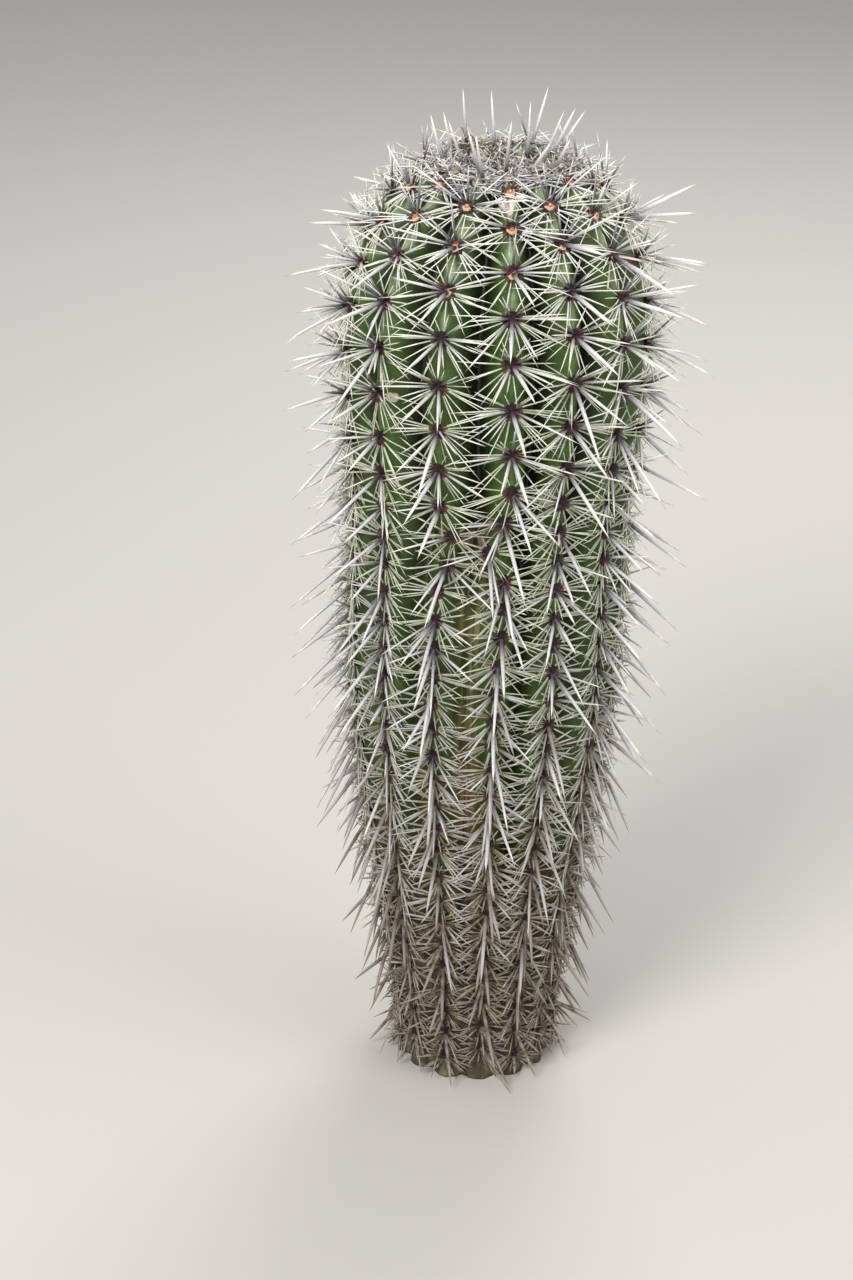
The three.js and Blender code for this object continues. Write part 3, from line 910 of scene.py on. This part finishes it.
def comb_of(length):
    """The thin spines of a cushion: each one's side, its turn from sideways, and its length."""
    crowd = past(length, COMB_CROWDING)
    tip = 1 - past(length, COMB_OFF_TIP)
    worn_down = past(length, COMB_WEARING)
    stray = rng.uniform(-COMB_COUNT_STRAY, COMB_COUNT_STRAY)
    side_count = int(round(between(*COMB_COUNT, crowd) + stray))
    spines = []
    for side in (-1, 1):
        for step in range(side_count):
            share = step / (side_count - 1)
            turn = between(COMB_HIGHEST, COMB_LOWEST, share)
            turn += rng.normal(0, between(*COMB_STRAY, crowd))
            off = abs(share - COMB_LONGEST_AT) / (1 - COMB_LONGEST_AT)
            long = between(*COMB_LONG, crowd) * (1 - COMB_END_LOSS * off)
            spines.append((side, turn, long))
    for turns, stray, long in COMB_CLOSING:
        for turn in turns:
            spines.append((1, turn + rng.uniform(-stray, stray), between(*long, crowd)))
    size = between(1, COMB_AT_TIP, tip) * between(1, COMB_WORN, worn_down)
    return [(side, turn, long * size * rng.uniform(*COMB_LONG_SPREAD)) for side, turn, long in spines]


rng = np.random.default_rng(37)
for rib, placed in enumerate(cushions):
    stout = []
    comb = []
    for index, length, point, out, side, up, wide, tall, proud in placed:
        mirror = -1 if (index + rib) % 2 else 1
        drooping = past(length / CREST_LENGTH, STOUT_DROOPING)
        thinned = past(length, STOUT_THINNING)
        worn_down = past(length, STOUT_WEARING)
        tip = 1 - past(length, STOUT_OFF_TIP)
        for young, young_long, old, old_long, thick, young_share, old_share, first in STOUT:
            if length < first or rng.random() > between(young_share, old_share, thinned):
                continue
            stray = STOUT_AIM * between(1, STOUT_AIM_WORN, worn_down)
            o, s, u = [between(a, b, drooping) + rng.normal(0, stray) for a, b in zip(young, old)]
            s *= mirror
            aim = unit(out * o + side * s + up * (u + tip * UPRIGHT_AT_TIP))
            long = between(young_long, old_long, drooping) * rng.normal(1, STOUT_LONG)
            long *= between(1, STOUT_LONG_AT_TIP, tip)
            long *= between(1, rng.uniform(*STOUT_LONG_WORN), worn_down)
            in_pad = np.array([s * wide, u * tall, proud]) * STOUT_ROOT
            root = point + in_pad @ np.array([side, up, out])
            bend = -out * long * rng.uniform(0, STOUT_BEND) - np.array([0, 0, STOUT_SAG * long])
            long = fitted(root, aim, bend, long)
            if long:
                stray = rng.uniform(-STOUT_AGE_STRAY, STOUT_AGE_STRAY)
                shade = stout_shades[step_of(length, AGE_LENGTHS, stray)]
                shade = upper_shades if u > UPPER_FROM else shade
                stout.append((root, aim, bend, long, thick * rng.uniform(*STOUT_WIDTH), shade))

        lift = between(*COMB_LIFT, past(length, COMB_FLATTENING)) - tip * COMB_FLAT_AT_TIP
        for hand, turn, long in comb_of(length):
            turn = math.radians(turn)
            raised = math.radians(lift + rng.normal(0, COMB_LIFT_STRAY))
            sideways = side * hand * math.cos(turn)
            upward = up * math.sin(turn)
            aim = unit((sideways + upward) * math.cos(raised) + out * math.sin(raised))
            root = point + (sideways * wide + upward * tall) * COMB_RIM - out * COMB_SINK
            bend = -out * long * rng.uniform(*COMB_BEND_IN)
            bend -= up * long * rng.uniform(*COMB_BEND_DOWN)
            long = fitted(root, aim, bend, long)
            if long:
                stray = rng.uniform(-COMB_AGE_STRAY, COMB_AGE_STRAY)
                shade = comb_shades[step_of(length, AGE_LENGTHS, stray)]
                inward = rib == 0 and hand < 0 or rib == RIBS - 1 and hand > 0
                if inward and abs(point[2] - CHECK_Z) < KNOT_REACH and rng.random() < KNOT_SHARE:
                    shade = knot_shades
                thick = rng.uniform(*COMB_WIDTH) * between(*COMB_WIDTH, drooping)
                comb.append((root, aim, bend, long, thick, shade))
    row = Many()
    add_spines(row, stout, stout_steps, STOUT_SIDES)
    add_spines(row, comb, COMB_STEPS, COMB_SIDES)
    row.piece(f"spines_rib_{rib + 1:02d}", list(needle.values()), "spines", rows[rib])


# The crown: a low cushion of pale wool that grows over the tip, with the youngest spines rooted in it.
# The short ones lie in a grey and ivory tangle, and tall ones stand straight up out of it. Curled,
# papery scraps of old flower are caught in them at the back left.

WOOL_RINGS = 26
WOOL_SIDES = 84
WOOL_HOLLOW = 4.5
WOOL_BASE = 611.2
WOOL_RISE = 1.2
WOOL_SLOPE = 0.5
WOOL_R = TUFT_R + 4
WOOL_SKIRT = 1
WOOL_THICK = 3
WOOL_LUMPS = ((3, 5.5, 1.6), (7, 2.2, 0.8))  # a layer of the noise, and its lumps' size and height

wool = Finish("crown_wool")
where = wool.place()
tufts = wool.noise(where, 140, 5, 0.6)
fibres = wool.noise(where, 700, 3, 1.5)
# The wool is grey-brown in tufts with dark flecks among its fibres; the darkness of both is partly
# painted shade of the gaps in the tangle above it.
pale = wool.mix(tufts.spread(0.4, 0.68), "453c31", "a3977f")
wool.set("Base Color", wool.mix(fibres.spread(0.5, 0.68) * 0.7, pale, "2c251e"))
wool.set("Roughness", 0.95)
wool.bump(fibres * 0.6 + tufts, 0.9, 0.0025)


def wool_height(radius):
    """The wool sinks towards the growing point, and past its rim it follows the dome down."""
    share = min(1, radius / WOOL_R)
    hollow = WOOL_HOLLOW * (1 - share ** 2) ** 2
    return WOOL_BASE + WOOL_RISE * share ** 2 - hollow - WOOL_SLOPE * max(0, radius - WOOL_R)


middle_x = float(axis_x(WOOL_BASE))
turns = np.arange(WOOL_SIDES) * 2 * np.pi / WOOL_SIDES
form = []
for ring in range(WOOL_RINGS + 1):
    share = 1 - ring / (WOOL_RINGS + 1)
    for turn in turns:
        radius = WOOL_R * share
        x = middle_x + radius * math.sin(turn)
        y = -radius * math.cos(turn)
        lump = sum(noise.noise(Vector((x, y, layer)) / size) * high for layer, size, high in WOOL_LUMPS)
        height = wool_height(radius) + lump * min(1, 3 * (1 - share))
        form.append((x, y, height if ring else WOOL_BASE - WOOL_SKIRT))
form.append((middle_x, 0, wool_height(0)))
form.append((middle_x, 0, WOOL_BASE - WOOL_HOLLOW - WOOL_THICK))
here = np.arange(WOOL_RINGS * WOOL_SIDES).reshape(WOOL_RINGS, WOOL_SIDES)
beside = np.roll(here, -1, axis=1)
walls = np.stack([here, beside, beside + WOOL_SIDES, here + WOOL_SIDES], axis=-1).reshape(-1, 4)
rim = np.arange(WOOL_SIDES)
inner = rim + WOOL_RINGS * WOOL_SIDES
top_fan = np.stack([inner, np.roll(inner, -1), np.full(WOOL_SIDES, len(form) - 2)], axis=-1)
foot_fan = np.stack([np.roll(rim, -1), rim, np.full(WOOL_SIDES, len(form) - 1)], axis=-1)
worn = np.zeros(len(walls) + 2 * WOOL_SIDES, int)
mound = mesh_of("crown_wool", np.array(form), [walls, top_fan, foot_fan], [wool], worn)
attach(mound, "root")
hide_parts("crown_tuft")

# The tangle's spines point any way but down. The standing ones are nearly upright and lean outward.
TANGLED = 780
TANGLED_R = TUFT_R + 9
TANGLED_LONG = (7, 15)
TANGLED_WIDTH = (0.9, 1.5)
TANGLED_STRAY = 0.8
TANGLED_RISE = 0.6
TANGLED_BEND = 0.8
STANDING = 15
STANDING_R = (12, TUFT_R + 6)
STANDING_LONG = (28, 46)
STANDING_WIDTH = (2.0, 2.7)
STANDING_SPLAY = 0.22
STANDING_STRAY = 0.1
STANDING_BEND = 0.5
CROWN_SPLAY = 0.4
CROWN_SINK = 1
GOLDEN = math.pi * (3 - math.sqrt(5))
CROWN_SHADES = (
    ("root_black", "shaft_slate", "shaft_lilac", "shaft_silver"),
    ("root_black", "root_plum", "shaft_slate", "shaft_dusk"),
    ("root_plum", "old_brown", "old_grey", "comb_grey"),
    ("old_brown", "old_brown", "old_grey", "old_grey"),
    ("old_brown", "old_tan", "comb_grey", "comb_ivory"),
    ("root_plum", "shaft_dusk", "shaft_silver", "shaft_pale"),
)
crown_shades = [[needle_index[name] for name in names] for names in CROWN_SHADES]


def crown_place(radius, turn):
    """A root in the wool, and the level way from the growing point out to it."""
    flat = np.array([math.sin(turn), -math.cos(turn), 0])
    return np.array([middle_x, 0, wool_height(radius) - CROWN_SINK]) + flat * radius, flat


rng = np.random.default_rng(53)
tangled = []
for count in range(TANGLED):
    radius = TANGLED_R * math.sqrt((count + 0.5) / TANGLED)
    root, flat = crown_place(radius, count * GOLDEN + rng.uniform(-0.2, 0.2))
    crossing = np.array([-flat[1], flat[0], 0])
    aim = flat * rng.normal(radius / TUFT_R * CROWN_SPLAY, TANGLED_STRAY)
    aim += crossing * rng.normal(0, TANGLED_STRAY)
    aim = unit(aim + np.array([0, 0, rng.uniform(0, TANGLED_RISE)]))
    bend = rng.normal(0, TANGLED_BEND, 3)
    long = fitted(root, aim, bend, rng.uniform(*TANGLED_LONG))
    if long:
        thick = rng.uniform(*TANGLED_WIDTH)
        shade = crown_shades[rng.integers(len(crown_shades))]
        tangled.append((root, aim, bend, long, thick, shade))
standing = []
for count in range(STANDING):
    radius = between(*STANDING_R, math.sqrt((count + 0.5) / STANDING))
    root, flat = crown_place(radius, count * GOLDEN + rng.uniform(-0.3, 0.3))
    aim = flat * rng.normal(radius / TUFT_R * CROWN_SPLAY, STANDING_SPLAY)
    aim = unit(aim + np.array([*rng.normal(0, STANDING_STRAY, 2), 1]))
    bend = rng.normal(0, STANDING_BEND, 3)
    long = fitted(root, aim, bend, rng.uniform(*STANDING_LONG))
    if long:
        standing.append((root, aim, bend, long, rng.uniform(*STANDING_WIDTH), stout_shades[0]))
tangle = Many()
add_spines(tangle, standing, stout_steps, STOUT_SIDES)
add_spines(tangle, tangled, COMB_STEPS, COMB_SIDES)
tangle.piece("crown_spines", list(needle.values()), "tuft", "crown_tuft")

# A scrap is a thin curled strip. SCRAPS_X and SCRAPS_Y hold the middle of the heap and its spread.
SCRAPS = 110
SCRAP_BENDS = 6
SCRAP_THICK = 0.3
SCRAP_LONG = (4, 10)
SCRAP_HALF_WIDTH = (0.35, 1.1)
SCRAP_CURL = 0.4
SCRAP_KINK = 0.3
SCRAPS_X = (-15, 12)
SCRAPS_Y = (21, 8)
SCRAPS_ABOVE = (1, 6)
SCRAP_SHADES = {
    "scrap_pale": "cfc7ba",
    "scrap_tan": "9c9080",
    "scrap_rust": "7d5f50",
    "scrap_brown": "584a41",
}
SCRAP_SHARES = (0.3, 0.35, 0.1, 0.25)
scrap = [plain(name, code, 0.8) for name, code in SCRAP_SHADES.items()]
scrap_end = 4 * (SCRAP_BENDS - 1)
scrap_faces = [(3, 2, 1, 0), *tube(SCRAP_BENDS, 4), tuple(range(scrap_end, scrap_end + 4))]
rng = np.random.default_rng(71)
scraps = Many()
for count in range(SCRAPS):
    x = rng.normal(*SCRAPS_X)
    y = rng.normal(*SCRAPS_Y)
    point = np.array([middle_x + x, y, wool_height(math.hypot(x, y)) + rng.uniform(*SCRAPS_ABOVE)])
    aim = unit(np.array([rng.normal(), rng.normal(), rng.normal(0, 0.6)]))
    side = unit(np.cross(aim, rng.normal(0, 1, 3)))
    over = np.cross(aim, side)
    step = rng.uniform(*SCRAP_LONG) / (SCRAP_BENDS - 1)
    wide = rng.uniform(*SCRAP_HALF_WIDTH)
    curl = rng.uniform(-SCRAP_CURL, SCRAP_CURL)
    form = []
    for bend in range(SCRAP_BENDS):
        half = wide * math.sin(math.pi * (bend + 0.7) / (SCRAP_BENDS + 0.6))
        for across, lift in ((1, -1), (1, 1), (-1, 1), (-1, -1)):
            form.append(point + side * (across * half) + over * (lift * SCRAP_THICK / 2))
        point = point + aim * step
        kink = curl + rng.normal(0, SCRAP_KINK)
        aim, over = unit(aim + over * kink), unit(over - aim * kink)
    shade = int(rng.choice(len(scrap), p=SCRAP_SHARES))
    scraps.add(np.array(form)[None], scrap_faces, [[shade] * len(scrap_faces)])
scraps.piece("crown_scraps", scrap, "tuft", "crown_tuft")


# The studio: a plain pale floor, soft light from a wide lamp above and in front, weaker ones beside
# and behind, and a camera that looks down on the plant as the photograph does.

FLOOR_HALF = 9
SKY = (0.97, 0.98, 1, 1)
SKY_STRENGTH = 0.55
LAMPS_AIM = (0, 0, 0.4)
SENSOR_WIDTH = 36
FOCAL_PIXELS = 2885
PHOTO_HEIGHT = 1280
CAMERA_PITCH = 25.7
CAMERA_PLACE = (-0.0324, -1.655, 1.095)
CAMERA_NEAR = 0.05

floor_mesh = bpy.data.meshes.new("floor")
floor_corners = [(x * FLOOR_HALF, y * FLOOR_HALF, 0) for x, y in ((-1, -1), (1, -1), (1, 1), (-1, 1))]
floor_mesh.from_pydata(floor_corners, [], [(0, 1, 2, 3)])
floor_mesh.materials.append(plain("pale_floor", "bcb9b3", 0.9).material)
floor = bpy.data.objects.new("floor", floor_mesh)
bpy.context.scene.collection.objects.link(floor)

bpy.context.scene.view_settings.view_transform = "Standard"
sky = bpy.data.worlds.new("studio")
sky.use_nodes = True
background = sky.node_tree.nodes["Background"]
background.inputs["Color"].default_value = SKY
background.inputs["Strength"].default_value = SKY_STRENGTH
bpy.context.scene.world = sky


def lamp(name, place, size, power):
    light = bpy.data.lights.new(name, "AREA")
    light.shape = "DISK"
    light.size = size
    light.energy = power
    hung = bpy.data.objects.new(name, light)
    hung.location = place
    aimed = Vector(LAMPS_AIM) - Vector(place)
    hung.rotation_euler = aimed.to_track_quat("-Z", "Y").to_euler()
    bpy.context.scene.collection.objects.link(hung)


lamp("key", (-1.0, -1.6, 2.1), 1.1, 58)
lamp("fill", (1.7, -0.9, 1.2), 1.4, 16)
lamp("back", (0.5, 1.6, 1.9), 1.2, 30)

lens = bpy.data.cameras.new("camera")
lens.sensor_width = SENSOR_WIDTH
lens.lens = FOCAL_PIXELS / PHOTO_HEIGHT * SENSOR_WIDTH
lens.clip_start = CAMERA_NEAR
camera = bpy.data.objects.new("camera", lens)
camera.location = CAMERA_PLACE
camera.rotation_euler = (math.radians(90 - CAMERA_PITCH), 0, 0)
bpy.context.scene.collection.objects.link(camera)
bpy.context.scene.camera = camera
